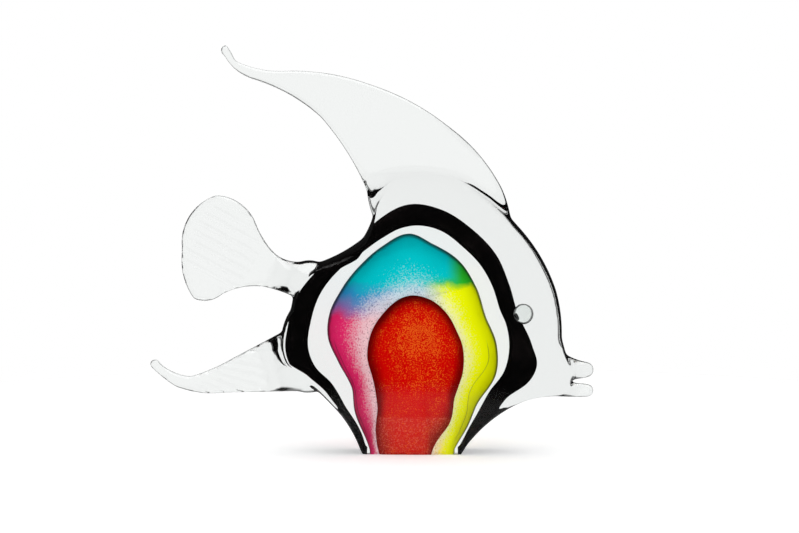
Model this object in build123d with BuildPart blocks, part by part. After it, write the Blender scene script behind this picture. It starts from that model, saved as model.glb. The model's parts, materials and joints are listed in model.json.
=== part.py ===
"""Fish figurine of layered glass: a red heart, a coloured layer and a black band cased in clear glass.

Millimetres. +X points to the nose and +Z up. The origin is the centre of the ground flat that the
fish stands on, and Y = 0 is the plane that the two polished faces mirror each other across.
"""

import os
from math import atan, cos, hypot, sin, sqrt

from build123d import *

# Red heart
core_width = 50.6
core_height = 86.1
core_depth = 39.0

# Glass gathered over the heart, each measured where the body is widest
inner_casing_side = 18.55
inner_casing_top = 30.6
colour_layer = 3.0
middle_casing_side = 13.3
middle_casing_top = 6.6
black_layer = 9.0
outer_casing_side = 11.85
outer_casing_top = 19.4

# Polished faces, which are two shallow domes
body_thickness = 50.0
dome_radius = 200.0
dome_centre_height = 66.0
dome_centre_forward = 5.0

# The line where the cap's colour ends, over the fish's base and sloping up to the nose
cap_line_height = 84.0
cap_line_slope = 11.0

# Fins
dorsal_span = 156.0
dorsal_height = 116.7
dorsal_root_thickness = 11.0
dorsal_tip_thickness = 4.6
tail_length = 80.7
tail_height = 57.0
tail_root_thickness = 13.0
tail_edge_thickness = 4.8
ventral_length = 98.5
ventral_height = 35.5
ventral_root_thickness = 12.0
ventral_tip_thickness = 4.6
fin_edge = 1.0

# Pressed ribs of the tail fin and the ventral fin: a round bar rolled into the hot glass
rib_depth = 0.5
rib_bar_radius = 4.0
tail_rib_count = 7
tail_rib_pitch = 6.0
tail_rib_length = 34.0
tail_rib_turn = 17.0
tail_rib_reach = 42.0
ventral_rib_count = 6
ventral_rib_turn = 4.4
ventral_rib_length = 38.0
ventral_rib_origin = 64.0
ventral_rib_drop = 12.5
ventral_rib_lean = 7.4

# Lips and eyes
lip_length = 26.4
upper_lip_height = 13.45
lower_lip_height = 7.0
lip_thickness = 8.0
eye_radius = 5.2
eye_rise = 2.4

# Length by which a tool runs past what it cuts
overrun = 8.0

# Widths and heights that follow from the gathers
colour_width = core_width + 2 * inner_casing_side
colour_height = core_height + inner_casing_top
black_width = colour_width + 2 * (middle_casing_side + black_layer)
black_height = colour_height + middle_casing_top + black_layer
body_width = black_width + 2 * outer_casing_side
body_height = black_height + outer_casing_top
half_thickness = body_thickness / 2

# Outlines as read off the front picture, clockwise, in its pixels. Those of the body and its layers
# pass below the ground flat, which cuts them off, and those of the fins and lips end inside the body.
ground_px = (412.0, 453.0)
core_px = (
    (409, 293), (428, 296), (444, 308), (455, 326), (462, 345), (462, 368), (454, 394), (450, 418),
    (437, 438), (430, 455), (428, 475), (409, 480), (390, 475), (379, 450), (376, 428), (378, 404),
    (374, 378), (368, 354), (371, 332), (384, 310),
)
colour_px = (
    (409, 236), (432, 246), (457, 262), (473, 286), (483, 316), (494, 345), (493, 373), (476, 400),
    (466, 424), (453, 448), (443, 475), (412, 482), (384, 475), (368, 438), (357, 410), (354, 385),
    (341, 360), (331, 336), (333, 312), (343, 292), (362, 267), (384, 248),
)
black_outer_px = (
    (409, 207), (440, 212), (471, 232), (494, 257), (506, 285), (515, 315), (529, 345), (534, 363),
    (527, 379), (504, 396), (486, 421), (467, 441), (454, 475), (412, 482), (371, 475), (357.5, 431),
    (331, 393), (310, 374), (293, 363), (288, 348), (291, 325), (297, 302), (315, 277), (336, 260),
    (360, 244), (380, 222),
)
black_inner_px = (
    (418, 224), (440, 229), (462, 245), (478, 261), (490, 281), (498, 305), (505, 322), (508, 345),
    (503, 368), (488, 389), (474, 415), (462, 439), (449, 475), (412, 480), (377, 475), (362, 431),
    (344, 400), (332, 380), (316, 364), (309, 345), (312, 318), (321, 292), (343, 265), (362, 251),
    (383, 236), (400, 227),
)
body_px = (
    (443, 171), (481, 192), (517, 225), (541, 257), (556, 290), (561, 315), (562, 338), (566, 353),
    (571, 368), (571, 384), (560, 396), (532, 399), (505, 411), (486, 425), (471, 440), (461, 456),
    (458, 475), (412, 484), (367, 475), (357, 442), (338, 412), (312, 386), (286, 364), (281, 340),
    (291, 309), (302, 279), (320, 262), (344, 251), (363, 238), (371, 222), (376, 203), (398, 180),
)
dorsal_root_px = (440.0, 207.0)
dorsal_px = (
    (227, 45), (232, 52), (236, 61), (255, 68), (290, 71), (335, 75), (371, 85), (413, 103),
    (449, 127), (481, 157), (502, 189), (508, 206), (512, 232), (450, 262), (388, 240), (374, 218),
    (367, 190), (349, 155), (321, 117), (292, 96), (255, 80), (235, 69), (225, 56), (222, 48),
)
tail_root_px = (296.0, 272.0)
tail_tip_px = (182.0, 250.0)
tail_px = (
    (217, 195), (240, 203), (254, 219), (261, 235), (271, 250), (283, 259), (300, 262), (326, 268),
    (332, 285), (322, 300), (300, 299), (284, 292), (262, 286), (242, 287), (222, 294), (206, 301),
    (194, 299), (184, 279), (182, 250), (192, 212),
)
ventral_root_px = (292.0, 358.0)
ventral_px = (
    (149, 366), (152, 360), (160, 364), (174, 373), (190, 377), (210, 370), (232, 359), (264, 342),
    (292, 327), (322, 332), (332, 360), (322, 388), (298, 391), (264, 392), (224, 393), (192, 392),
    (175, 387), (160, 376),
)
lip_root_px = (569.0, 380.0)
upper_lip_px = (
    (547, 358), (558, 355), (570, 357), (580, 361), (589, 363), (594, 370), (589, 377), (568, 380),
    (547, 378), (545, 368),
)
lower_lip_px = (
    (547, 386), (567, 384), (589, 385), (594, 391), (589, 397), (567, 397), (547, 395), (545, 390),
)
eye_px = (521.5, 311.0)


def body_point(point_px):
    """A picture point on the body as (x, z) in millimetres."""
    return outline([point_px], body_width, body_height, body_px)[0]


def outline(points_px, width, height, sized_by_px, root_px=ground_px):
    """Picture points as (x, z) in millimetres about a root point of the body.

    The outline in sized_by_px gets the width given. The height given is its reach over the root point
    on the body, and its whole height on a fin or lip.
    """
    across = [x for x, _ in sized_by_px]
    down = [y for _, y in sized_by_px]
    on_body = root_px == ground_px
    lowest = ground_px[1] if on_body else max(down)
    x_scale = width / (max(across) - min(across))
    z_scale = height / (lowest - min(down))
    root_x, root_z = (0.0, 0.0) if on_body else body_point(root_px)
    return [
        (root_x + (x - root_px[0]) * x_scale, root_z + (root_px[1] - y) * z_scale)
        for x, y in points_px
    ]


def drawn_in(points, distance):
    """The same outline drawn in by a distance towards the body's centre."""
    moved = []
    for x, z in points:
        from_centre_x = x - dome_centre_forward
        from_centre_z = z - dome_centre_height
        kept = 1 - distance / hypot(from_centre_x, from_centre_z)
        moved.append((dome_centre_forward + from_centre_x * kept, dome_centre_height + from_centre_z * kept))
    return moved


def form(points, half_depth):
    """A solid of an outline of arcs, each through three of its points, half to each side of Y = 0."""
    with BuildPart() as block:
        with BuildSketch(Plane.XZ):
            with BuildLine():
                for index in range(0, len(points), 2):
                    ThreePointArc(points[index], points[index + 1], points[(index + 2) % len(points)])
            make_face()
        extrude(amount=half_depth, both=True)
    return block.part


core_outline = outline(core_px, core_width, core_height, core_px)
colour_outline = outline(colour_px, colour_width, colour_height, colour_px)
black_outline = outline(black_outer_px, black_width, black_height, black_outer_px)
bore_outline = outline(black_inner_px, black_width, black_height, black_outer_px)
body_outline = outline(body_px, body_width, body_height, body_px)

through = half_thickness + overrun
core_form = form(core_outline, core_depth / 2)
colour_bore = form(drawn_in(colour_outline, colour_layer), through)
colour_form = form(colour_outline, through)
black_bore = form(bore_outline, through)
black_form = form(black_outline, through)
body_form = form(body_outline, through)

# The two domed faces
with BuildPart() as lens:
    with Locations((dome_centre_forward, dome_radius - half_thickness, dome_centre_height)):
        Sphere(dome_radius)
    with Locations((dome_centre_forward, half_thickness - dome_radius, dome_centre_height)):
        Sphere(dome_radius, mode=Mode.INTERSECT)

# Red heart and the clear glass round it
with BuildPart() as red_core:
    add(core_form)
    add(lens.part, mode=Mode.INTERSECT)
    split(bisect_by=Plane.XY, keep=Keep.TOP)

with BuildPart() as inner_clear_casing:
    add(colour_bore)
    add(core_form, mode=Mode.SUBTRACT)
    add(lens.part, mode=Mode.INTERSECT)
    split(bisect_by=Plane.XY, keep=Keep.TOP)

# Coloured layer: the cap above a slanting line, and a flank each side of the base's middle below it
cap_plane = Plane(
    origin=(0, 0, cap_line_height),
    x_dir=Vector(1, 0, 0).rotate(Axis.Y, -cap_line_slope),
    z_dir=Vector(0, 0, 1).rotate(Axis.Y, -cap_line_slope),
)
with BuildPart() as turquoise_cap:
    add(colour_form)
    add(colour_bore, mode=Mode.SUBTRACT)
    add(lens.part, mode=Mode.INTERSECT)
    split(bisect_by=cap_plane, keep=Keep.TOP)

with BuildPart() as pink_flank:
    add(colour_form)
    add(colour_bore, mode=Mode.SUBTRACT)
    add(lens.part, mode=Mode.INTERSECT)
    split(bisect_by=Plane.XY, keep=Keep.TOP)
    split(bisect_by=cap_plane, keep=Keep.BOTTOM)
    split(bisect_by=Plane.YZ, keep=Keep.BOTTOM)

with BuildPart() as yellow_flank:
    add(colour_form)
    add(colour_bore, mode=Mode.SUBTRACT)
    add(lens.part, mode=Mode.INTERSECT)
    split(bisect_by=Plane.XY, keep=Keep.TOP)
    split(bisect_by=cap_plane, keep=Keep.BOTTOM)
    split(bisect_by=Plane.YZ, keep=Keep.TOP)

# Clear glass, the black band and the clear body outside it
with BuildPart() as middle_clear_casing:
    add(black_bore)
    add(colour_form, mode=Mode.SUBTRACT)
    add(lens.part, mode=Mode.INTERSECT)
    split(bisect_by=Plane.XY, keep=Keep.TOP)

with BuildPart() as black_band:
    add(black_form)
    add(black_bore, mode=Mode.SUBTRACT)
    add(lens.part, mode=Mode.INTERSECT)
    split(bisect_by=Plane.XY, keep=Keep.TOP)

with BuildPart() as clear_body:
    add(body_form)
    add(black_form, mode=Mode.SUBTRACT)
    add(lens.part, mode=Mode.INTERSECT)
    split(bisect_by=Plane.XY, keep=Keep.TOP)

# The whole body, which the fins, lips and eyes are let into
with BuildPart() as whole_body:
    add(body_form)
    add(lens.part, mode=Mode.INTERSECT)


def broad_face(root_px, tip_point, root_thickness, tip_thickness):
    """The plane of a fin's right face: its X runs from root to tip as the fin thins, its Z outwards."""
    root_x, root_z = body_point(root_px)
    reach_x, reach_z = tip_point[0] - root_x, tip_point[1] - root_z
    reach = hypot(reach_x, reach_z)
    taper = atan((root_thickness - tip_thickness) / 2 / reach)
    along_x, along_z = reach_x / reach, reach_z / reach
    return Plane(
        origin=(root_x, -root_thickness / 2, root_z),
        x_dir=(along_x * cos(taper), sin(taper), along_z * cos(taper)),
        z_dir=(along_x * sin(taper), -cos(taper), along_z * sin(taper)),
    )


def fin(points, face_plane, rib_places=(), rib_length=0.0):
    """A flat fin with eased edges and pressed ribs, alike on both sides and let into the body."""
    with BuildPart() as blank:
        add(form(points, half_thickness))
        split(bisect_by=Plane.XZ, keep=Keep.TOP)
        split(bisect_by=face_plane, keep=Keep.BOTTOM)
        chamfer(blank.faces().sort_by(Axis.Y)[0].edges(), fin_edge)
        if rib_places:
            with Locations(*[face_plane.location * place for place in rib_places]):
                Cylinder(rib_bar_radius, rib_length, rotation=(0, 90, 0), mode=Mode.SUBTRACT)
        mirror(about=Plane.XZ)
        add(whole_body.part, mode=Mode.SUBTRACT)
    return blank.part


dorsal_points = outline(dorsal_px, dorsal_span, dorsal_height, dorsal_px, dorsal_root_px)
dorsal_face = broad_face(dorsal_root_px, dorsal_points[0], dorsal_root_thickness, dorsal_tip_thickness)
with BuildPart() as dorsal_fin:
    add(fin(dorsal_points, dorsal_face))

# The tail's ribs lie side by side across the fan, turned from the fin's own axis
tail_points = outline(tail_px, tail_length, tail_height, tail_px, tail_root_px)
(tail_tip,) = outline([tail_tip_px], tail_length, tail_height, tail_px, tail_root_px)
tail_face = broad_face(tail_root_px, tail_tip, tail_root_thickness, tail_edge_thickness)
tail_ribs = [
    Location((tail_rib_reach, 0, rib_bar_radius - rib_depth), (0, 0, -tail_rib_turn))
    * Location((0, (number - (tail_rib_count - 1) / 2) * tail_rib_pitch, 0))
    for number in range(tail_rib_count)
]
with BuildPart() as tail_fin:
    add(fin(tail_points, tail_face, tail_ribs, tail_rib_length))

# The ventral fin's ribs fan out from a point near its tip towards the body
ventral_points = outline(ventral_px, ventral_length, ventral_height, ventral_px, ventral_root_px)
ventral_face = broad_face(
    ventral_root_px, ventral_points[0], ventral_root_thickness, ventral_tip_thickness
)
ventral_ribs = [
    Location(
        (ventral_rib_origin, ventral_rib_drop, rib_bar_radius - rib_depth),
        (0, 0, ventral_rib_lean + (number - (ventral_rib_count - 1) / 2) * ventral_rib_turn),
    )
    * Location((-ventral_rib_length, 0, 0))
    for number in range(ventral_rib_count)
]
with BuildPart() as ventral_fin:
    add(fin(ventral_points, ventral_face, ventral_ribs, ventral_rib_length))


def lip(points):
    """A drawn bit of glass let into the snout."""
    with BuildPart() as bit:
        add(form(points, lip_thickness / 2))
        add(whole_body.part, mode=Mode.SUBTRACT)
    return bit.part


with BuildPart() as upper_lip:
    add(lip(outline(upper_lip_px, lip_length, upper_lip_height, upper_lip_px, lip_root_px)))

with BuildPart() as lower_lip:
    add(lip(outline(lower_lip_px, lip_length, lower_lip_height, lower_lip_px, lip_root_px)))

# Each eye is a bead let into a polished face, of which it shows a cap
eye_x, eye_z = body_point(eye_px)
eye_reach = hypot(eye_x - dome_centre_forward, eye_z - dome_centre_height)
eye_face = half_thickness - dome_radius + sqrt(dome_radius**2 - eye_reach**2)
bead_radius = (eye_radius**2 + eye_rise**2) / (2 * eye_rise)
with BuildPart() as right_eye:
    with Locations((eye_x, bead_radius - eye_rise - eye_face, eye_z)):
        Sphere(bead_radius)
    add(whole_body.part, mode=Mode.SUBTRACT)

with BuildPart() as left_eye:
    mirror(right_eye.part, about=Plane.XZ)

pieces = {
    "red_core": red_core,
    "inner_clear_casing": inner_clear_casing,
    "turquoise_cap": turquoise_cap,
    "pink_flank": pink_flank,
    "yellow_flank": yellow_flank,
    "middle_clear_casing": middle_clear_casing,
    "black_band": black_band,
    "clear_body": clear_body,
    "dorsal_fin": dorsal_fin,
    "tail_fin": tail_fin,
    "ventral_fin": ventral_fin,
    "upper_lip": upper_lip,
    "lower_lip": lower_lip,
    "right_eye": right_eye,
    "left_eye": left_eye,
}
os.makedirs("parts", exist_ok=True)
for name, piece in pieces.items():
    piece.part.label = name
    export_step(piece.part, f"parts/{name}.step")
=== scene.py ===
"""Fish figurine of layered glass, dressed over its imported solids.

The clear glass of the solids is fused to one skin with rounded rims. Inside it lie the black
layer, the coloured layer and the red heart, and a clear bead sits on each polished face.
"""

import bisect
import json
import logging
import math
from dataclasses import dataclass, field
from enum import Enum
from functools import cached_property

import bmesh
import bpy
from bmesh.types import BMesh
from mathutils import Matrix, Vector
from mathutils.bvhtree import BVHTree

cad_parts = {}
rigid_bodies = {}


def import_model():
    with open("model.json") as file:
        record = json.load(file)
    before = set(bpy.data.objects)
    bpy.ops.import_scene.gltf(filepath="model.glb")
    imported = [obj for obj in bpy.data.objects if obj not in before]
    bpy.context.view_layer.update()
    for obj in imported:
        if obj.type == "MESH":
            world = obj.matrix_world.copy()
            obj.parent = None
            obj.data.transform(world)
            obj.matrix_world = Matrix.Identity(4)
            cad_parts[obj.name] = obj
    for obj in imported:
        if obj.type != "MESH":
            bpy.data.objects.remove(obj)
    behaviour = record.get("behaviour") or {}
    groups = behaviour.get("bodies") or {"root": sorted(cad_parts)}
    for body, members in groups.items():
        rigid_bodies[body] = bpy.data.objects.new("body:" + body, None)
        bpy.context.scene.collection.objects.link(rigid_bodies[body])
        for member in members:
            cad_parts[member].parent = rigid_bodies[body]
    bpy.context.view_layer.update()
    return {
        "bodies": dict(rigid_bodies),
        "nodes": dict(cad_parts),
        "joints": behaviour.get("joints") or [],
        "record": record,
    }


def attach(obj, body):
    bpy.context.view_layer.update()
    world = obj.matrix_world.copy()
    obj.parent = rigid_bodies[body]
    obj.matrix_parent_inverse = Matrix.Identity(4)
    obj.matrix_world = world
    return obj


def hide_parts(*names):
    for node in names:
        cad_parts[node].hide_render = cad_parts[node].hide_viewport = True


MM = 0.001
log = logging.getLogger("fish")


class Side(Enum):
    """Which part of the coloured layer a piece is."""

    CAP = "turquoise_cap"
    TAIL = "pink_flank"
    NOSE = "yellow_flank"


def eased(share: float) -> float:
    """A share held between nought and one, with a smooth start and end."""
    share = min(max(share, 0.0), 1.0)
    return share * share * (3 - 2 * share)


@dataclass(frozen=True)
class Picture:
    """The photograph's frame, and how its pixels lie on the plane through the fish's middle."""

    width: float = 799.0
    height: float = 533.0
    ground_x: float = 412.0
    ground_y: float = 453.0
    pixel: float = 0.538 * MM

    def place(self, x_px: float, y_px: float) -> tuple[float, float]:
        """The (x, z) of a pixel."""
        return (x_px - self.ground_x) * self.pixel, (self.ground_y - y_px) * self.pixel


@dataclass(frozen=True)
class PolishedFace:
    """The shallow dome of a polished face, about the middle that the outlines go round."""

    radius: float = 200 * MM
    half_thickness: float = 25 * MM
    middle_x: float = 5 * MM
    middle_z: float = 66 * MM

    def depth(self, x: float, z: float) -> float:
        """How far the face stands from the fish's middle plane at a place."""
        reach = math.hypot(x - self.middle_x, z - self.middle_z)
        return math.sqrt(self.radius**2 - reach**2) - self.radius + self.half_thickness

    def spot(self, angle: float, reach: float) -> tuple[float, float]:
        """The (x, z) at a reach from the middle in a direction."""
        return self.middle_x + reach * math.cos(angle), self.middle_z + reach * math.sin(angle)


@dataclass(frozen=True)
class Outline:
    """A closed line round the body's middle, held as its reach from there in each direction."""

    points_px: tuple[tuple[float, float], ...]
    picture: Picture = Picture()
    face: PolishedFace = PolishedFace()

    @cached_property
    def turns(self) -> list[tuple[float, float]]:
        """The (angle, reach) of each point, in order of angle."""
        found = []
        for x_px, y_px in self.points_px:
            x, z = self.picture.place(x_px, y_px)
            across, up = x - self.face.middle_x, z - self.face.middle_z
            found.append((math.atan2(up, across), math.hypot(across, up)))
        return sorted(found)

    def turn(self, index: int) -> tuple[float, float]:
        """A point's (angle, reach), counted on past the last point or back before the first."""
        laps, place = divmod(index, len(self.turns))
        angle, reach = self.turns[place]
        return angle + laps * math.tau, reach

    def reach(self, angle: float) -> float:
        """The outline's reach in a direction, on a smooth curve through its points.

        Args:
            angle: direction from the middle, in radians.

        Returns:
            The reach in metres.
        """
        after = bisect.bisect_right(self.turns, (angle, 0.0))
        points = [self.turn(after + step) for step in (-2, -1, 0, 1)]
        span = points[2][0] - points[1][0]
        slopes = [
            (points[k + 2][1] - points[k][1]) / (points[k + 2][0] - points[k][0]) * span
            for k in (0, 1)
        ]
        share = (angle - points[1][0]) / span
        rest = 1 - share
        return (
            (1 + 2 * share) * rest**2 * points[1][1]
            + share * rest**2 * slopes[0]
            + share**2 * (3 - 2 * share) * points[2][1]
            - share**2 * rest * slopes[1]
        )


HEART = Outline((
    (409, 293), (428, 296), (444, 308), (455, 326), (462, 345), (462, 368), (454, 394), (450, 418),
    (437, 438), (430, 455), (428, 475), (409, 480), (390, 475), (379, 450), (376, 428), (378, 404),
    (374, 378), (368, 354), (371, 332), (384, 310),
))
COLOUR = Outline((
    (409, 236), (432, 246), (457, 262), (473, 286), (483, 316), (494, 345), (493, 373), (476, 400),
    (466, 424), (453, 448), (443, 475), (412, 482), (384, 475), (368, 438), (357, 410), (354, 385),
    (341, 360), (331, 336), (333, 312), (343, 292), (362, 267), (384, 248),
))
BLACK_OUTSIDE = Outline((
    (409, 207), (440, 212), (471, 232), (494, 257), (506, 285), (515, 315), (529, 345), (534, 363),
    (527, 379), (504, 396), (486, 421), (467, 441), (454, 475), (412, 482), (371, 475),
    (357.5, 431), (331, 393), (310, 374), (293, 363), (288, 348), (291, 325), (297, 302),
    (315, 277), (336, 260), (360, 244), (380, 222),
))
BLACK_INSIDE = Outline((
    (418, 224), (440, 229), (462, 245), (478, 261), (490, 281), (498, 305), (505, 322), (508, 345),
    (503, 368), (488, 389), (474, 415), (462, 439), (449, 475), (412, 480), (377, 475), (362, 431),
    (344, 400), (332, 380), (316, 364), (309, 345), (312, 318), (321, 292), (343, 265), (362, 251),
    (383, 236), (400, 227),
))


@dataclass
class Wire:
    """An output of a shader node, on which sums add their Math nodes."""

    finish: "FinishNodes"
    output: bpy.types.NodeSocket

    def _sum(self, operation: str, first: "Wire | float", second: "Wire | float") -> "Wire":
        """One Math node on two values."""
        return self.finish.node("ShaderNodeMath", {"operation": operation}, {0: first, 1: second})

    def __add__(self, other: "Wire | float") -> "Wire":
        """This plus another."""
        return self._sum("ADD", self, other)

    def __sub__(self, other: "Wire | float") -> "Wire":
        """This less another."""
        return self._sum("SUBTRACT", self, other)

    def __rsub__(self, other: float) -> "Wire":
        """A number less this."""
        return self._sum("SUBTRACT", other, self)

    def __mul__(self, other: "Wire | float") -> "Wire":
        """This times another."""
        return self._sum("MULTIPLY", self, other)

    __radd__ = __add__
    __rmul__ = __mul__

    def rising(self, low: float, high: float) -> "Wire":
        """Nought below low, one above high, a smooth rise between; falling if low is higher."""
        return self.finish.node(
            "ShaderNodeMapRange",
            {"interpolation_type": "SMOOTHSTEP", "clamp": True},
            {0: self, 1: low, 2: high, 3: 0.0, 4: 1.0},
        )


@dataclass(frozen=True)
class Tint:
    """A colour by its linear red, green and blue."""

    red: float
    green: float
    blue: float

    @property
    def rgba(self) -> tuple[float, float, float, float]:
        """The colour with full opacity."""
        return self.red, self.green, self.blue, 1.0


WHITE = Tint(1.0, 1.0, 1.0)


class FinishNodes:
    """The node tree of a material or the world while it is being wired."""

    def __init__(self, owner: bpy.types.Material | bpy.types.World) -> None:
        owner.use_nodes = True
        self.tree = owner.node_tree
        self.tree.nodes.clear()

    def node(
        self, kind: str, settings: dict | None = None, values: dict | None = None,
        output: int | str = 0,
    ) -> Wire:
        """Adds a node.

        Args:
            kind: the node's type.
            settings: its own settings, set first; "stops" holds a ramp's (place, tint) pairs.
            values: what its sockets hold or are linked to, by place or name.
            output: which of its outputs is handed back.

        Returns:
            The chosen output.
        """
        made = self.tree.nodes.new(kind)
        for name, setting in (settings or {}).items():
            if name == "stops":
                self._set_stops(made.color_ramp, setting)
            else:
                setattr(made, name, setting)
        for place, value in (values or {}).items():
            if isinstance(value, Wire):
                self.tree.links.new(value.output, made.inputs[place])
            else:
                made.inputs[place].default_value = value.rgba if isinstance(value, Tint) else value
        return Wire(self, made.outputs[output]) if len(made.outputs) else Wire(self, None)

    @staticmethod
    def _set_stops(ramp: bpy.types.ColorRamp, stops: list[tuple[float, Tint]]) -> None:
        """Gives a colour ramp its stops."""
        while len(ramp.elements) < len(stops):
            ramp.elements.new(1.0)
        for element, (place, tint) in zip(ramp.elements, stops):
            element.position = place
            element.color = tint.rgba

    def outputs(
        self, kind: str, places: tuple[int | str, ...], values: dict | None = None
    ) -> tuple[Wire, ...]:
        """Adds a node and hands back the outputs at some places or by some names."""
        made = self.node(kind, values=values).output.node
        return tuple(Wire(self, made.outputs[place]) for place in places)

    def here(self) -> Wire:
        """The place on the piece, in its own metres."""
        return self.node("ShaderNodeTexCoord", output="Object")

    def axes(self) -> tuple[Wire, Wire, Wire]:
        """The place's x, y and z."""
        return self.outputs("ShaderNodeSeparateXYZ", (0, 1, 2), {0: self.here()})

    def grain(self, scale: float, detail: float = 2.0, shift: float = 0.0) -> Wire:
        """Noise of a number of grains to the metre, around a half."""
        place = self.here()
        if shift:
            moved = {0: place, 1: (shift,) * 3}
            place = self.node("ShaderNodeVectorMath", {"operation": "ADD"}, moved)
        held = {"Vector": place, "Scale": scale, "Detail": detail}
        return self.node("ShaderNodeTexNoise", values=held, output="Fac")

    def kept(self, name: str) -> Wire:
        """A number kept on the mesh's points."""
        return self.node("ShaderNodeAttribute", {"attribute_name": name}, output="Fac")

    def blended(self, share: Wire, first: Wire | Tint, second: Wire | Tint) -> Wire:
        """Two colours mixed by a share of the second."""
        held = {0: share, 6: first, 7: second}
        return self.node("ShaderNodeMix", {"data_type": "RGBA"}, held, output=2)

    def ended(self, surface: Wire, volume: Wire | None = None) -> None:
        """Ends a material at its surface, and its inside where it has one."""
        ends = {"Surface": surface} if volume is None else {"Surface": surface, "Volume": volume}
        self.node("ShaderNodeOutputMaterial", values=ends)


@dataclass(frozen=True)
class ClearGlass:
    """Clear hot-worked glass, a little grey through its depth, with the faintest waves.

    A bead's glass has a painted ring of shade at its rim, whose width is a share of the bead's
    radius.
    """

    name: str
    index: float = 1.5
    tint: Tint = Tint(0.915, 0.930, 0.922)
    inner_tint: Tint = Tint(0.80, 0.84, 0.83)
    absorbed_per_metre: float = 5.0
    wave_scale: float = 45.0
    wave_strength: float = 0.05
    # The ring and its tint paint shade at a bead's rim: a dark ring standing in for its darker
    # edge.
    ring: float = 0.0
    painted_ring_shade_tint: Tint = Tint(0.05, 0.05, 0.05)

    def material(self) -> bpy.types.Material:
        """Makes the finish.

        Returns:
            A glass that lamps shine through.
        """
        made = bpy.data.materials.new(self.name)
        nodes = FinishNodes(made)
        height = nodes.grain(self.wave_scale)
        wave = nodes.node(
            "ShaderNodeBump",
            values={"Strength": self.wave_strength, "Distance": MM, "Height": height},
        )
        colour = self.tint
        # Painted shade: a dark ring at a bead's rim.
        if self.ring:
            painted_ring_shade = nodes.kept("inward").rising(self.ring, self.ring / 2)
            colour = nodes.blended(painted_ring_shade, self.tint, self.painted_ring_shade_tint)
        glass = nodes.node(
            "ShaderNodeBsdfPrincipled",
            values={
                "Base Color": colour, "Roughness": 0.0, "IOR": self.index,
                "Transmission Weight": 1.0, "Normal": wave,
            },
        )
        open_to_lamps = nodes.node("ShaderNodeBsdfTransparent")
        shadow = nodes.node("ShaderNodeLightPath", output="Is Shadow Ray")
        surface = nodes.node("ShaderNodeMixShader", values={0: shadow, 1: glass, 2: open_to_lamps})
        volume = nodes.node(
            "ShaderNodeVolumeAbsorption",
            values={"Color": self.inner_tint, "Density": self.absorbed_per_metre},
        )
        nodes.ended(surface, volume)
        return made


@dataclass(frozen=True)
class BlackGlass:
    """Near-black glass with a soft gloss."""

    name: str = "black_glass_finish"
    body: Tint = Tint(0.0012, 0.001, 0.001)
    thin: Tint = Tint(0.004, 0.003, 0.003)
    cloud_scale: float = 60.0
    gloss_scale: float = 300.0
    roughness_least: float = 0.06
    roughness_range: float = 0.12

    def material(self) -> bpy.types.Material:
        """Makes the finish.

        Returns:
            The black glass.
        """
        made = bpy.data.materials.new(self.name)
        nodes = FinishNodes(made)
        cloud = nodes.grain(self.cloud_scale)
        colour = nodes.blended(cloud.rising(0.45, 0.75), self.body, self.thin)
        rough = nodes.grain(self.gloss_scale) * self.roughness_range + self.roughness_least
        nodes.ended(nodes.node(
            "ShaderNodeBsdfPrincipled",
            values={"Base Color": colour, "Roughness": rough, "Specular IOR Level": 0.0},
        ))
        return made


@dataclass(frozen=True)
class RedGlass:
    """Opaque red glass strewn with orange dust, paler where it meets the polished face, and
    darkened at its outline by painted shade.
    """

    name: str = "red_glass_finish"
    red: Tint = Tint(0.68, 0.0, 0.0)
    # The darker red of the painted shade at the heart's outline.
    painted_edge_shade_red: Tint = Tint(0.30, 0.0, 0.0)
    orange: Tint = Tint(0.86, 0.15, 0.012)
    dust: Tint = Tint(0.80, 0.16, 0.10)
    dust_height: float = 21 * MM
    dust_blend: float = 1 * MM
    dust_scale: float = 1100.0
    speck_scale: float = 1500.0
    cloud_scale: float = 110.0
    glow_heights: tuple[float, float] = (20 * MM, 80 * MM)
    orange_share: float = 0.75
    # Painted shade at the outline: none past the first share of the way in, full within the
    # second.
    edge: tuple[float, float] = (0.30, 0.06)
    roughness: float = 0.5

    def material(self) -> bpy.types.Material:
        """Makes the finish.

        Returns:
            The red glass.
        """
        made = bpy.data.materials.new(self.name)
        nodes = FinishNodes(made)
        _, _, height = nodes.axes()
        inward = nodes.kept("inward")
        speck = nodes.grain(self.speck_scale, 1.0)
        cloud = nodes.grain(self.cloud_scale, 3.0, 0.3)
        glow = inward.rising(0.15, 0.9) * height.rising(*self.glow_heights)
        orange = (speck + cloud * 0.35 + glow * 0.20).rising(0.72, 0.92) * self.orange_share
        colour = nodes.blended(orange, self.red, self.orange)
        # Painted shade: the heart darkened towards its outline.
        edge = (inward + cloud * 0.1).rising(*self.edge)
        colour = nodes.blended(edge, colour, self.painted_edge_shade_red)
        dusted = height.rising(
            self.dust_height + self.dust_blend, self.dust_height - self.dust_blend
        )
        dust = nodes.grain(self.dust_scale, 1.0, 0.7).rising(0.5, 0.68) * 0.5 + 0.08
        colour = nodes.blended(dust * dusted, colour, self.dust)
        nodes.ended(nodes.node(
            "ShaderNodeBsdfPrincipled",
            values={
                "Base Color": colour, "Roughness": self.roughness, "Specular IOR Level": 0.0,
            },
        ))
        return made


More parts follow.
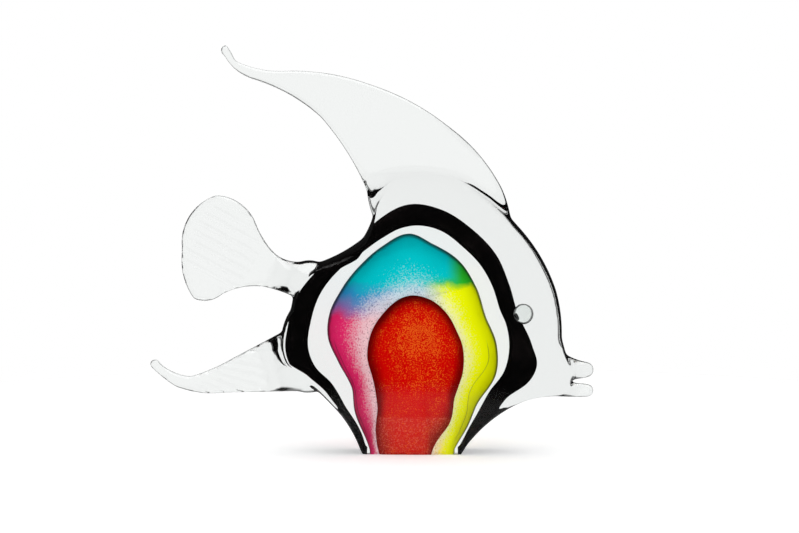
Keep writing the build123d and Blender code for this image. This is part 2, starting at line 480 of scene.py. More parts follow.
@dataclass(frozen=True)
class PowderedColour:
    """Powdered colour of the layer round the heart, dense at its outline and thinner inwards, with
    a faint painted glow.
    """

    name: str
    turquoise: Tint = Tint(0.0, 0.66, 0.71)
    blue: Tint = Tint(0.04, 0.36, 0.66)
    violet: Tint = Tint(0.34, 0.20, 0.52)
    pink: Tint = Tint(0.86, 0.03, 0.20)
    green: Tint = Tint(0.04, 0.62, 0.04)
    yellow: Tint = Tint(0.96, 1.0, 0.0)
    pale: Tint = Tint(0.92, 0.92, 0.90)
    seam: Tint = Tint(0.02, 0.03, 0.03)
    low: float = 60 * MM
    high: float = 120 * MM
    tail_heights: tuple[float, ...] = (72 * MM, 79 * MM, 86 * MM, 93 * MM)
    nose_heights: tuple[float, ...] = (89 * MM, 93 * MM, 104 * MM, 112 * MM)
    unevenness: float = 14 * MM
    nose_start: tuple[float, float] = (2 * MM, 20 * MM)
    cap_rise: tuple[float, float] = (90 * MM, 96 * MM)
    cap_end: tuple[float, float] = (27 * MM, 17 * MM)
    cap_heights: tuple[float, float] = (80 * MM, 94 * MM)
    narrower: float = 0.22
    bulge_heights: tuple[float, float, float] = (20 * MM, 37 * MM, 54 * MM)
    fold_inward: float = 0.14
    fold_width: float = 0.022
    fold_start: tuple[float, float] = (4 * MM, 14 * MM)
    fold_end: tuple[float, float] = (64 * MM, 56 * MM)
    fold_share: float = 0.55
    edge: tuple[float, float] = (0.085, 0.02)
    edge_share: float = 0.8
    waver: float = 0.04
    drift_scale: float = 70.0
    speck_scale: float = 1300.0
    cloud_scale: float = 160.0
    pale_share: float = 0.7
    cover_most: float = 1.2
    cover_lost: float = 0.45
    # The strength of a painted glow in the layer's own colour, standing in for backlight through
    # it.
    painted_backlight_glow: float = 0.13

    def _hue(self, nodes: FinishNodes, forward: Wire, height: Wire, nose: Wire) -> Wire:
        """The colour by place: pink to blue up the tail side, yellow to green up the nose side.

        Args:
            nodes: the node tree.
            forward: how far forward the place lies.
            height: its height.
            nose: how much of it belongs to the nose side.

        Returns:
            The colour.
        """
        tail_tints = (self.pink, self.violet, self.blue, self.turquoise)
        nose_tints = (self.yellow, self.green, self.green, self.turquoise)
        span = self.high - self.low
        climbed = (height - self.low) * (1 / span)
        sides = []
        for heights, tints in ((self.tail_heights, tail_tints), (self.nose_heights, nose_tints)):
            stops = [((at - self.low) / span, tint) for at, tint in zip(heights, tints)]
            sides.append(nodes.node("ShaderNodeValToRGB", {"stops": stops}, {0: climbed}))
        cap = height.rising(*self.cap_rise) * forward.rising(*self.cap_end)
        return nodes.blended(nose, sides[0], nodes.blended(cap, sides[1], self.turquoise))

    def _seamed(
        self, nodes: FinishNodes, colour: Wire, inward: Wire, height: Wire, nose: Wire
    ) -> Wire:
        """Draws the layer's dark outline, and the fold line a little way in.

        Args:
            nodes: the node tree.
            colour: the colour without them.
            inward: how far in from the outline the place lies, a little wavering.
            height: its height.
            nose: how much of it belongs to the nose side.

        Returns:
            The colour with both.
        """
        low, middle, high = self.bulge_heights
        bulge = height.rising(low, middle) * height.rising(high, middle)
        fold = inward - self.fold_inward - nose * (bulge * 0.24 + 0.12)
        crease = fold.rising(-self.fold_width, 0.0) * fold.rising(self.fold_width, 0.0)
        crease = crease * height.rising(*self.fold_end) * height.rising(*self.fold_start)
        colour = nodes.blended(crease * self.fold_share, colour, self.seam)
        return nodes.blended(inward.rising(*self.edge) * self.edge_share, colour, self.seam)

    def material(self) -> bpy.types.Material:
        """Makes the finish.

        Returns:
            The powdered colour, clear between its grains.
        """
        made = bpy.data.materials.new(self.name)
        nodes = FinishNodes(made)
        forward, _, height = nodes.axes()
        inward = nodes.kept("inward")
        drift = nodes.grain(self.drift_scale, 3.0)
        nose = forward.rising(*self.nose_start)
        colour = self._hue(nodes, forward, height + (drift - 0.5) * self.unevenness, nose)
        cap = height.rising(*self.cap_heights)
        reached = inward - cap * self.narrower - nose * (1.0 - cap) * self.narrower
        speck = nodes.grain(self.speck_scale, 1.0, 0.2)
        thinned = (reached + (speck - 0.5) * 1.1).rising(0.32, 0.85)
        colour = nodes.blended(thinned * self.pale_share, colour, self.pale)
        colour = self._seamed(nodes, colour, inward + drift * self.waver, height, nose)
        cloud = nodes.grain(self.cloud_scale, 3.0, 0.9)
        cover = self.cover_most - reached.rising(0.2, 1.0) * self.cover_lost
        cover = cover + (cloud - 0.5) * 0.25
        alpha = (cover + (speck - 0.5) * 1.3).rising(0.15, 0.85)
        # The emission is painted light: a faint glow in the layer's colour stands in for
        # backlight.
        nodes.ended(nodes.node(
            "ShaderNodeBsdfPrincipled",
            values={
                "Base Color": colour, "Roughness": 0.3, "IOR": 1.05, "Transmission Weight": 0.4,
                "Specular IOR Level": 0.0, "Alpha": alpha, "Emission Color": colour,
                "Emission Strength": self.painted_backlight_glow,
            },
        ))
        made.cycles.emission_sampling = "NONE"
        return made


def shown(name: str, data: bpy.types.ID) -> bpy.types.Object:
    """A new object of some data, in the scene."""
    made = bpy.data.objects.new(name, data)
    bpy.context.scene.collection.objects.link(made)
    return made


@dataclass
class Workshop:
    """What every sub-assembly needs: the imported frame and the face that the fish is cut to."""

    frame: dict
    face: PolishedFace = PolishedFace()

    def hand_over(
        self, shape: BMesh, name: str, material: bpy.types.Material, slot: str,
        replaced: tuple[str, ...],
    ) -> bpy.types.Object:
        """Makes a finished piece of a shape.

        Args:
            shape: the shape, which is used up.
            name: the piece's name.
            material: its finish.
            slot: the record's material slot; not used.
            replaced: the solids that it stands for.

        Returns:
            The piece, riding on the root.
        """
        mesh = bpy.data.meshes.new(name)
        shape.to_mesh(mesh)
        shape.free()
        mesh.polygons.foreach_set("use_smooth", [True] * len(mesh.polygons))
        mesh.materials.append(material)
        piece = shown(name, mesh)
        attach(piece, "root")
        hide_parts(*replaced)
        log.info("%s has %d faces", name, len(mesh.polygons))
        return piece


@dataclass(frozen=True)
class Root:
    """Where a fin flows into the body, by directions in degrees and distances about the rim."""

    first: float
    last: float
    inner: float
    outer: float
    half_thickness: float
    margin: float = 8.0
    inner_fade: float = 6 * MM
    outer_fade: float = 0.7

    def sides(self, turn: float) -> float:
        """How far a direction lies within the root's ends, from nought to one."""
        return eased(min(turn - self.first, self.last - turn) / self.margin)

    def share(self, turn: float, beyond: float) -> float:
        """How much of the easing a place gets.

        Args:
            turn: its direction from the middle.
            beyond: how far it lies outside the body's rim.

        Returns:
            A share from nought outside the root to one in it.
        """
        inwards = (beyond - self.inner) / self.inner_fade
        outwards = (self.outer - beyond) / (self.outer * self.outer_fade)
        return eased(min(inwards, outwards)) * self.sides(turn)


@dataclass(frozen=True)
class Ribs:
    """Shallow grooves pressed in a fin, side by side or slightly fanned."""

    middle_px: tuple[float, float]
    length: float
    slope: float
    pitch: float
    half_spread: float
    fan: float
    depth: float

    def groove(self, x: float, z: float) -> float:
        """How deep the grooves are at a place.

        Args:
            x: the place's x.
            z: its z.

        Returns:
            The depth in metres.
        """
        middle_x, middle_z = Picture().place(*self.middle_px)
        slope = math.radians(self.slope)
        along = (x - middle_x) * math.cos(slope) - (z - middle_z) * math.sin(slope)
        aside = (x - middle_x) * math.sin(slope) + (z - middle_z) * math.cos(slope)
        aside /= 1 + self.fan * along / self.length * 2
        ends = max(0.0, 1 - (2 * along / self.length) ** 4)
        fade = ends * max(0.0, 1 - (aside / self.half_spread) ** 4)
        return self.depth * fade * (0.5 + 0.5 * math.cos(math.tau * aside / self.pitch))


@dataclass
class GlassSkin:
    """The clear glass of body, fins and lips, fused to one skin with rounded rims."""

    shop: Workshop
    voxel: float = 0.92 * MM
    merge: float = 0.002 * MM
    smoothing: int = 8
    swell: float = 0.12
    swell_at_ground: float = 0.25
    swell_height: float = 60 * MM
    swell_reach: float = 110 * MM
    rim_blend: float = 2 * MM
    sunk_least: float = 0.25 * MM
    sunk_most: float = 1.4 * MM
    base_band: float = 0.7 * MM
    # In order: the roots of the dorsal, tail and ventral fins and of the lips.
    roots: tuple[Root, ...] = (
        Root(first=70, last=134, inner=-5 * MM, outer=34 * MM, half_thickness=5.5 * MM),
        Root(first=144, last=198, inner=-4 * MM, outer=30 * MM, half_thickness=6.5 * MM),
        Root(first=190, last=228, inner=-3 * MM, outer=28 * MM, half_thickness=6 * MM),
        Root(first=316, last=358, inner=-10 * MM, outer=18 * MM, half_thickness=4 * MM),
    )
    root_passes: int = 60
    easing: int = 12
    rays: int = 1440
    far: float = 300 * MM
    aside: float = 100 * MM
    looks: tuple[int, ...] = (-2, -1, 0, 1, 2)
    look_aside: float = math.radians(1.2)
    foot_height: float = 1.5 * MM
    # In order: the grooves of the tail and ventral fins.
    ribs: tuple[Ribs, ...] = (
        Ribs(
            middle_px=(222.0, 246.0), length=41 * MM, slope=28.0, pitch=5.4 * MM,
            half_spread=26 * MM, fan=0.0, depth=0.95 * MM,
        ),
        Ribs(
            middle_px=(232.0, 372.0), length=44 * MM, slope=14.0, pitch=4.2 * MM,
            half_spread=24 * MM, fan=0.35, depth=0.75 * MM,
        ),
    )
    rib_facing: float = 0.7
    rib_end: float = -60 * MM
    body: tuple[str, ...] = ("clear_body", "middle_clear_casing", "inner_clear_casing")
    added: tuple[str, ...] = ("dorsal_fin", "tail_fin", "ventral_fin", "upper_lip", "lower_lip")
    filled: tuple[str, ...] = (
        "black_band", "turquoise_cap", "pink_flank", "yellow_flank", "red_core",
    )
    solid: BVHTree | None = field(default=None, init=False)

    def _joined(self, nodes: tuple[str, ...]) -> BMesh:
        """Copies of some solids' meshes in one."""
        joined = bmesh.new()
        for node in nodes:
            joined.from_mesh(self.shop.frame["nodes"][node].data)
        return joined

    @staticmethod
    def _finished(
        shape: BMesh, modifiers: list[tuple[str, dict]], shares: dict[str, list[float]]
    ) -> BMesh:
        """Runs a shape through modifiers.

        Args:
            shape: the shape, which is used up.
            modifiers: each one's type and settings, in order.
            shares: by the name of a vertex group, how much of it each point gets.

        Returns:
            The changed shape.
        """
        rough_mesh = bpy.data.meshes.new("rough_skin")
        shape.to_mesh(rough_mesh)
        shape.free()
        rough = shown("rough_skin", rough_mesh)
        for name, numbers in shares.items():
            group = rough.vertex_groups.new(name=name)
            for index, share in enumerate(numbers):
                if share > 0:
                    group.add([index], share, "REPLACE")
        for kind, settings in modifiers:
            modifier = rough.modifiers.new(kind.lower(), kind)
            for name, setting in settings.items():
                setattr(modifier, name, setting)
        seen = rough.evaluated_get(bpy.context.evaluated_depsgraph_get())
        finished_mesh = bpy.data.meshes.new_from_object(seen)
        finished = bmesh.new()
        finished.from_mesh(finished_mesh)
        bpy.data.objects.remove(rough)
        bpy.data.meshes.remove(rough_mesh)
        bpy.data.meshes.remove(finished_mesh)
        return finished

    def _fused(self) -> BMesh:
        """The joined solids remade as one closed skin of even squares, its steps smoothed."""
        whole = self._joined(self.body + self.added + self.filled)
        bmesh.ops.remove_doubles(whole, verts=whole.verts, dist=self.merge)
        remade = [("REMESH", {"mode": "VOXEL", "voxel_size": self.voxel})]
        skin = self._finished(whole, remade, {})
        axes = {"use_axis_x": True, "use_axis_y": True, "use_axis_z": True}
        for _ in range(self.smoothing):
            bmesh.ops.smooth_vert(skin, verts=skin.verts, factor=0.5, **axes)
        return skin

    def _measure(self, skin: BMesh) -> list[tuple[float, float]]:
        """Finds where each point lies about the body.

        Args:
            skin: the skin.

        Returns:
            Each point's direction from the middle in degrees, and how far it lies outside the rim.
        """
        face = self.shop.face
        body = self._joined(self.body + self.filled)
        rim = BVHTree.FromBMesh(body)
        body.free()
        middle = Vector((face.middle_x, 0, face.middle_z))
        reaches = []
        for step in range(self.rays):
            angle = math.tau * step / self.rays
            outward = Vector((math.cos(angle), 0.0, math.sin(angle)))
            hit = rim.ray_cast(middle + outward * self.far, -outward)
            reaches.append(self.far - hit[3] if hit[3] is not None else 0.0)
        measured = []
        for vert in skin.verts:
            across, up = vert.co.x - face.middle_x, vert.co.z - face.middle_z
            angle = math.atan2(up, across) % math.tau
            reach = reaches[round(angle / math.tau * self.rays) % self.rays]
            measured.append((math.degrees(angle), math.hypot(across, up) - reach))
        return measured

    def _set_to_faces(self, skin: BMesh, measured: list[tuple[float, float]]) -> None:
        """Swells the body about its middle and lays its two faces on their domes.

        Args:
            skin: the smoothed skin, changed in place.
            measured: where each point lies about the body.
        """
        face = self.shop.face
        for vert, (turn, beyond) in zip(skin.verts, measured):
            inside = min(max(-beyond / self.rim_blend, 0.0), 1.0)
            inside = max(inside, *(root.sides(turn) for root in self.roots))
            across, up = vert.co.x - face.middle_x, vert.co.z - face.middle_z
            sunk = face.depth(vert.co.x, vert.co.z) - abs(vert.co.y)
            if math.hypot(across, up) < self.swell_reach:
                height = max(vert.co.z, 0.0) / self.swell_height
                swell = self.swell * min(1.0, self.swell_at_ground + height)
                keep = 1 - swell * (vert.co.y / face.half_thickness) ** 2
                vert.co.x = face.middle_x + across * keep
                vert.co.z = face.middle_z + up * keep
            if inside > 0:
                share = eased((self.sunk_most - sunk) / (self.sunk_most - self.sunk_least))
                lift = face.depth(vert.co.x, vert.co.z) - abs(vert.co.y)
                lift *= share * inside
                if beyond > 0:
                    lift = max(lift, 0.0)
                vert.co.y += math.copysign(lift, vert.co.y)

    def _raise_roots(self, skin: BMesh, measured: list[tuple[float, float]]) -> None:
        """Thickens each fin's root, so that the body's polished faces run on over it.

        Args:
            skin: the skin, changed in place.
            measured: where each point lies about the body.
        """
        for vert, (turn, _) in zip(skin.verts, measured):
            for root in self.roots:
                share = root.sides(turn)
                if share > 0:
                    face = self.shop.face.depth(vert.co.x, vert.co.z)
                    now = abs(vert.co.y)
                    thicker = min(now * max(face / root.half_thickness, 1.0), max(now, face))
                    vert.co.y += math.copysign((thicker - now) * share, vert.co.y)

    def _flow_roots(self, skin: BMesh, measured: list[tuple[float, float]]) -> BMesh:
        """Lets each fin's thickness run smoothly into the body's, with the outline kept.

        Args:
            skin: the skin, which is used up.
            measured: where each point lies about the body.

        Returns:
            The eased skin, its points in the same order.
        """
        self._raise_roots(skin, measured)
        shares = [max(root.share(*place) for root in self.roots) for place in measured]
        depth_only = {"factor": 1.0, "use_x": False, "use_y": True, "use_z": False}
        return self._finished(
            skin,
            [
                ("SMOOTH", {**depth_only, "iterations": self.root_passes, "vertex_group": "root"}),
                ("SMOOTH", {**depth_only, "iterations": self.easing}),
            ],
            {"root": shares},
        )

    def _press_ribs(self, skin: BMesh) -> None:
        """Presses the grooves into both sides of the fins.

        Args:
            skin: the skin, changed in place.
        """
        for vert in skin.verts:
            if abs(vert.normal.y) > self.rib_facing and vert.co.x < self.rib_end:
                groove = sum(ribs.groove(vert.co.x, vert.co.z) for ribs in self.ribs)
                vert.co.y -= math.copysign(groove, vert.co.y)

    def _set_base(self, skin: BMesh) -> None:
        """Lays the bottom flat on the ground."""
        for vert in skin.verts:
            if vert.co.z < self.base_band:
                vert.co.z = 0.0

    def build(self) -> bpy.types.Object:
        """Builds the skin.

        Returns:
            The finished piece.
        """
        skin = self._fused()
        measured = self._measure(skin)
        skin = self._flow_roots(skin, measured)
        self._set_to_faces(skin, measured)
        skin.normal_update()
        self._press_ribs(skin)
        self._set_base(skin)
        bmesh.ops.recalc_face_normals(skin, faces=skin.faces)
        self.solid = BVHTree.FromBMesh(skin)
        return self.shop.hand_over(
            skin, "clear_glass", ClearGlass("clear_glass_finish").material(), "clear_glass",
            self.body + self.added,
        )

    def room(self, angle: float, depth: float) -> float:
        """The skin's reach from the middle in a direction, at a depth."""
        face = self.shop.face
        start = Vector((face.middle_x, depth, face.middle_z))
        rooms = []
        for step in self.looks:
            turn = angle + step * self.look_aside
            hit = self.solid.ray_cast(start, Vector((math.cos(turn), 0.0, math.sin(turn))))
            if hit[3] is not None and hit[0].z > self.foot_height:
                rooms.append(hit[3])
        return sum(rooms) / len(rooms) if rooms else math.inf

    def seat(self, x: float, z: float, side: int) -> tuple[Vector, Vector]:
        """The skin's place and outward direction at an (x, z) on one side."""
        z = max(z, self.base_band)
        hit = self.solid.ray_cast(Vector((x, side * self.aside, z)), Vector((0, -side, 0)))
        return hit[0] or Vector((x, side * self.shop.face.depth(x, z), z)), hit[1]


@dataclass
class Gather:
    """A thin curved layer round the body, widest at the middle and drawn in towards both faces.

    With a skin gap below nought the layer's place doesn't depend on the skin's.
    """

    shop: Workshop
    skin: GlassSkin
    widest: Outline
    narrowest: Outline
    thickness: float
    depth_share: float
    face_gap: float
    skin_gap: float = 0.5 * MM
    steps_round: int = 288
    steps_deep: int = 36
    curve: float = 2.0
    fittings: int = 2
    ground_gap: float = 0.3 * MM
    merge: float = 0.01 * MM

    def _ring(self) -> BMesh:
        """A closed ring about the depth axis, its walls at reach 1 and 2, its depth -1 to 1."""
        ring = bmesh.new()
        depths = [2 * k / self.steps_deep - 1 for k in range(self.steps_deep + 1)]
        profile = [(2.0, depth) for depth in depths] + [(1.0, depth) for depth in reversed(depths)]
        points = [ring.verts.new((reach, depth, 0.0)) for reach, depth in profile]
        edges = [ring.edges.new((points[k - 1], points[k])) for k in range(len(points))]
        bmesh.ops.spin(
            ring, geom=points + edges, cent=(0, 0, 0), axis=(0, 1, 0), dvec=(0, 0, 0),
            angle=math.tau, steps=self.steps_round, use_merge=True, use_normal_flip=False,
            use_duplicate=False,
        )
        bmesh.ops.remove_doubles(ring, verts=ring.verts, dist=self.merge)
        return ring

    def _place(self, share: float, wall: float, angle: float) -> tuple[Vector, float]:
        """Where a point of the ring goes.

        Args:
            share: its depth, from -1 at one face to 1 at the other.
            wall: nought on the inner wall and one on the outer.
            angle: its direction round the middle.

        Returns:
            The place, and how far in from the widest outline it lies, from nought to one.
        """
        face = self.shop.face
        widest, narrowest = self.widest.reach(angle), self.narrowest.reach(angle)
        drawn_in = abs(share) ** self.curve
        reach = widest + (narrowest + self.thickness - widest) * drawn_in
        for _ in range(self.fittings):
            x, z = face.spot(angle, reach)
            depth = share * self.depth_share * (face.depth(x, z) - self.face_gap)
            reach = min(reach, self.skin.room(angle, depth) - self.skin_gap)
        reach -= self.thickness * (1 - wall)
        x, z = face.spot(angle, reach)
        return Vector((x, depth, z)), (widest - reach) / max(widest - narrowest, MM)

    def shape(self) -> BMesh:
        """Shapes the layer and stands it on the ground.

        Returns:
            The closed shape, with how far in each point lies kept as "inward".
        """
        ring = self._ring()
        inward = ring.verts.layers.float.new("inward")
        for vert in ring.verts:
            wall = math.hypot(vert.co.x, vert.co.z) - 1
            angle = math.atan2(vert.co.z, vert.co.x)
            vert.co, vert[inward] = self._place(vert.co.y, wall, angle)
        bmesh.ops.recalc_face_normals(ring, faces=ring.faces)
        cut(ring, Vector((0, 0, self.ground_gap)), Vector((0, 0, 1)))
        return ring


def cut(shape: BMesh, at: Vector, kept_side: Vector) -> None:
    """Cuts a closed shape by a plane and closes the cut.

    Args:
        shape: the shape, changed in place.
        at: a point of the plane.
        kept_side: the direction from the plane in which the shape is kept.
    """
    geometry = shape.verts[:] + shape.edges[:] + shape.faces[:]
    bmesh.ops.bisect_plane(
        shape, geom=geometry, dist=1e-7, plane_co=at, plane_no=kept_side, clear_inner=True
    )
    rims = [edge for edge in shape.edges if edge.is_boundary]
    filled = bmesh.ops.holes_fill(shape, edges=rims, sides=0)["faces"]
    bmesh.ops.triangulate(shape, faces=filled)


@dataclass
class BlackLayer:
    """The black layer, an open ring between the two faces."""

    shop: Workshop
    skin: GlassSkin
    thickness: float = 1.8 * MM
    face_gap: float = 0.25 * MM

    def build(self) -> bpy.types.Object:
        """Builds the layer.

        Returns:
            The finished piece.
        """
        gather = Gather(
            self.shop, self.skin, BLACK_OUTSIDE, BLACK_INSIDE, self.thickness, depth_share=1.0,
            face_gap=self.face_gap,
        )
        return self.shop.hand_over(
            gather.shape(), "black_layer", BlackGlass().material(), "black_glass", ("black_band",)
        )


@dataclass
class ColouredLayer:
    """The coloured layer in its three parts: cap, tail side and nose side."""

    shop: Workshop
    skin: GlassSkin
    thickness: float = 0.4 * MM
    depth_share: float = 0.86
    face_gap: float = 0.6 * MM
    skin_gap: float = -20 * MM
    curve: float = 2.4
    cap_height: float = 84 * MM
    cap_slope: float = math.radians(11)
    slots: dict[Side, str] = field(default_factory=lambda: {
        Side.CAP: "turquoise_glass", Side.TAIL: "pink_glass", Side.NOSE: "yellow_glass",
    })

    def _part(self, whole: BMesh, side: Side) -> BMesh:
        """The whole layer cut down to one of its parts.

        Args:
            whole: the whole layer, which stays as it is.
            side: the part.

        Returns:
            The closed part.
        """
        part = whole.copy()
        upward = Vector((-math.sin(self.cap_slope), 0, math.cos(self.cap_slope)))
        cap_line = Vector((0, 0, self.cap_height))
        if side is Side.CAP:
            cut(part, cap_line, upward)
            return part
        cut(part, cap_line, -upward)
        cut(part, Vector((0, 0, 0)), Vector((1 if side is Side.NOSE else -1, 0, 0)))
        return part

    def build(self) -> list[bpy.types.Object]:
        """Builds the three parts.

        Returns:
            The finished pieces.
        """
        whole = Gather(
            self.shop, self.skin, COLOUR, HEART, self.thickness, self.depth_share, self.face_gap,
            self.skin_gap, curve=self.curve,
        ).shape()
        pieces = [
            self.shop.hand_over(
                self._part(whole, side), side.name.lower() + "_colour",
                PowderedColour(self.slots[side] + "_finish").material(), self.slots[side],
                (side.value,),
            )
            for side in Side
        ]
        whole.free()
        return pieces


@dataclass
class RedHeart:
    """The opaque red heart, a flattened lump that stands on the ground."""

    shop: Workshop
    skin: GlassSkin
    half_depth: float = 19.5 * MM
    fullness: float = 0.72
    face_gap: float = 0.3 * MM
    ground_gap: float = 0.3 * MM
    segments: int = 224

    def build(self) -> bpy.types.Object:
        """Builds the heart.

        Returns:
            The finished piece.
        """
        face = self.shop.face
        lump = bmesh.new()
        bmesh.ops.create_uvsphere(
            lump, u_segments=self.segments, v_segments=self.segments // 2, radius=1.0,
            matrix=Matrix.Rotation(math.pi / 2, 4, "X"),
        )
        inward = lump.verts.layers.float.new("inward")
        for vert in lump.verts:
            angle = math.atan2(vert.co.z, vert.co.x)
            flat = min(math.hypot(vert.co.x, vert.co.z), 1.0) ** self.fullness
            x, z = face.spot(angle, HEART.reach(angle) * flat)
            depth = self.half_depth * abs(vert.co.y) ** self.fullness
            seat, _ = self.skin.seat(x, z, -1)
            depth = min(depth, face.depth(x, z) - self.face_gap, abs(seat.y) - self.face_gap)
            vert[inward] = 1 - flat
            vert.co = Vector((x, math.copysign(depth, vert.co.y), z))
        bmesh.ops.recalc_face_normals(lump, faces=lump.faces)
        cut(lump, Vector((0, 0, self.ground_gap)), Vector((0, 0, 1)))
        return self.shop.hand_over(
            lump, "red_heart", RedGlass().material(), "red_glass", ("red_core",)
        )


@dataclass
class EyeBeads:
    """A clear bead on each polished face."""

    shop: Workshop
    skin: GlassSkin
    right_px: tuple[float, float] = (521.5, 311.0)
    left_px: tuple[float, float] = (517.5, 316.5)
    radius: float = 5.2 * MM
    rise: float = 2.4 * MM
    flatness: float = 6.0
    gap: float = 0.08 * MM
    segments: int = 96
    # How wide the painted ring of shade at each bead's rim is, as a share of its radius.
    ring: float = 0.15

    def _bead(self, side: int) -> BMesh:
        """The bead on one face.

        Args:
            side: -1 for the right face and 1 for the left.

        Returns:
            The closed bead.
        """
        x, z = Picture().place(*(self.right_px if side < 0 else self.left_px))
        seat, outward = self.skin.seat(x, z, side)
        bead = bmesh.new()
        bmesh.ops.create_uvsphere(
            bead, u_segments=self.segments, v_segments=self.segments, radius=1.0
        )
        inward = bead.verts.layers.float.new("inward")
        for vert in bead.verts:
            reach = min(math.hypot(vert.co.x, vert.co.y), 1.0)
            vert[inward] = 1 - reach
            top = max(math.sqrt(1 - reach**self.flatness) * self.rise, self.gap)
            height = top if vert.co.z > 0 else self.gap
            vert.co = Vector((vert.co.x * self.radius, vert.co.y * self.radius, height))
        turn = Vector((0, 0, 1)).rotation_difference(outward).to_matrix().to_4x4()
        bmesh.ops.transform(bead, matrix=Matrix.Translation(seat) @ turn, verts=bead.verts)
        return bead

    def build(self) -> list[bpy.types.Object]:
        """Builds both beads.

        Returns:
            The finished pieces.
        """
        # The beads' glass carries the painted ring of shade at its rim.
        glass = ClearGlass("eye_glass_finish", index=1.1, wave_strength=0.0, ring=self.ring)
        finish = glass.material()
        return [
            self.shop.hand_over(self._bead(side), name, finish, "clear_glass", (node,))
            for side, name, node in ((-1, "right_bead", "right_eye"), (1, "left_bead", "left_eye"))
        ]


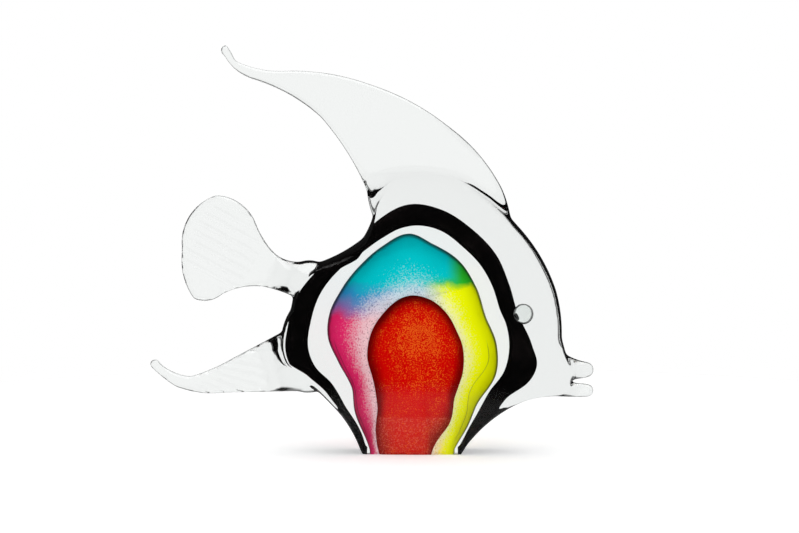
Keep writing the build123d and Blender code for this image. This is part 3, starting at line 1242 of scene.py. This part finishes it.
@dataclass
class Studio:
    """A white table and surround, a soft lamp overhead and the camera of the photograph."""

    picture: Picture = Picture()
    distance: float = 1.6
    tilt: float = math.radians(4.0)
    sensor_width: float = 36.0
    nearest: float = 0.05
    floor_size: float = 2.0
    floor_tint: Tint = Tint(0.86, 0.86, 0.86)
    floor_glow: float = 0.37
    floor_fade: float = 0.26
    mirror_fade: float = 0.07
    lamp_size: float = 1.1
    lamp_height: float = 1.2
    lamp_forward: float = 0.15
    lamp_power: float = 5.0
    room_light: float = 0.55
    inner_light: float = 2.0
    cards_round: float = 4.0
    card_edge: tuple[float, float] = (0.84, 0.94)
    card_shade: float = 0.85
    shade_above: float = 0.8
    bounces: int = 24
    glossy_bounces: int = 12
    clear_bounces: int = 32

    def _floor(self) -> None:
        """A white table top that keeps the fish's soft shadow."""
        sheet = bmesh.new()
        bmesh.ops.create_grid(sheet, x_segments=4, y_segments=4, size=self.floor_size / 2)
        mesh = bpy.data.meshes.new("table_top")
        sheet.to_mesh(mesh)
        sheet.free()
        material = bpy.data.materials.new("white_table")
        nodes = FinishNodes(material)
        camera, through, mirror = nodes.outputs(
            "ShaderNodeLightPath", ("Is Camera Ray", "Is Transmission Ray", "Is Glossy Ray")
        )
        lit = nodes.node("ShaderNodeBsdfDiffuse", values={"Color": self.floor_tint})
        strength = (camera + through) * self.floor_glow
        glow = nodes.node("ShaderNodeEmission", values={"Color": WHITE, "Strength": strength})
        table = nodes.node("ShaderNodeAddShader", values={0: lit, 1: glow})
        away = nodes.node(
            "ShaderNodeVectorMath", {"operation": "LENGTH"}, {0: nodes.here()}, output="Value"
        )
        open_room = nodes.node("ShaderNodeBsdfTransparent")
        mirrored = away.rising(self.mirror_fade * 2, self.mirror_fade) * 0.5
        near = away.rising(self.floor_fade * 2, self.floor_fade)
        near = near * (1.0 - mirror * (1.0 - mirrored))
        nodes.ended(nodes.node("ShaderNodeMixShader", values={0: near, 1: open_room, 2: table}))
        mesh.materials.append(material)
        floor = shown("table_top", mesh)

    def _room(self) -> None:
        """White to the eye and through glass, with darker cards that draw the glass's edges."""
        world = bpy.data.worlds.new("white_room")
        bpy.context.scene.world = world
        nodes = FinishNodes(world)
        camera, glossy, through, lighting = nodes.outputs(
            "ShaderNodeLightPath",
            ("Is Camera Ray", "Is Glossy Ray", "Is Transmission Ray", "Diffuse Depth"),
        )
        way = nodes.node("ShaderNodeTexCoord", output="Generated")
        x, y, up = nodes.outputs("ShaderNodeSeparateXYZ", (0, 1, 2), {0: way})
        turn = nodes.node("ShaderNodeMath", {"operation": "ARCTAN2"}, {0: y, 1: x})
        turns = turn * self.cards_round
        wave = nodes.node("ShaderNodeMath", {"operation": "COSINE"}, {0: turns})
        cards = (0.0 - wave).rising(*self.card_edge) * self.card_shade
        above = up.rising(0.40, 0.60) * up.rising(0.93, 0.85) * self.shade_above
        seen_through = (1.0 - cards) * (1.0 - above)
        mirrored = up.rising(0.75, 0.9) * 0.9 + 0.02
        lit = lighting.rising(0.4, 0.6)
        seen = (1.0 - lit) * (camera + through * seen_through + glossy * mirrored)
        light = self.room_light + through * (self.inner_light - self.room_light)
        strength = seen + lit * light
        background = nodes.node(
            "ShaderNodeBackground", values={"Color": WHITE, "Strength": strength}
        )
        nodes.node("ShaderNodeOutputWorld", values={"Surface": background})

    def _lamp(self) -> None:
        """A large soft lamp overhead."""
        light = bpy.data.lights.new("soft_lamp", "AREA")
        light.shape = "SQUARE"
        light.size = self.lamp_size
        light.energy = self.lamp_power
        lamp = shown("soft_lamp", light)
        lamp.location = (0.0, -self.lamp_forward, self.lamp_height)

    def _camera(self) -> None:
        """The camera, square on to the fish's right side and a little above it."""
        x, z = self.picture.place(self.picture.width / 2, self.picture.height / 2)
        aim = Vector((x, 0.0, z))
        lens = bpy.data.cameras.new("camera")
        lens.sensor_width = self.sensor_width
        lens.lens = lens.sensor_width * self.distance / (self.picture.width * self.picture.pixel)
        lens.clip_start = self.nearest
        camera = shown("camera", lens)
        towards = Vector((0.0, -math.cos(self.tilt), math.sin(self.tilt)))
        camera.location = aim + towards * self.distance
        camera.rotation_euler = (math.pi / 2 - self.tilt, 0.0, 0.0)
        bpy.context.scene.camera = camera

    def build(self) -> None:
        """Sets up the floor, room, lamp, camera and the light's bounces."""
        self._floor()
        self._room()
        self._lamp()
        self._camera()
        scene = bpy.context.scene
        scene.view_settings.view_transform = "Standard"
        scene.cycles.max_bounces = self.bounces
        scene.cycles.transmission_bounces = self.bounces
        scene.cycles.glossy_bounces = self.glossy_bounces
        scene.cycles.transparent_max_bounces = self.clear_bounces
        log.info("the studio is set")


def main() -> None:
    """Builds the fish and its studio."""
    logging.basicConfig(level=logging.INFO, format="%(message)s")
    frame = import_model()
    shop = Workshop(frame)
    skin = GlassSkin(shop)
    skin.build()
    BlackLayer(shop, skin).build()
    ColouredLayer(shop, skin).build()
    RedHeart(shop, skin).build()
    EyeBeads(shop, skin).build()
    Studio().build()
    log.info("sizes are noted")


if __name__ == "__main__":
    main()
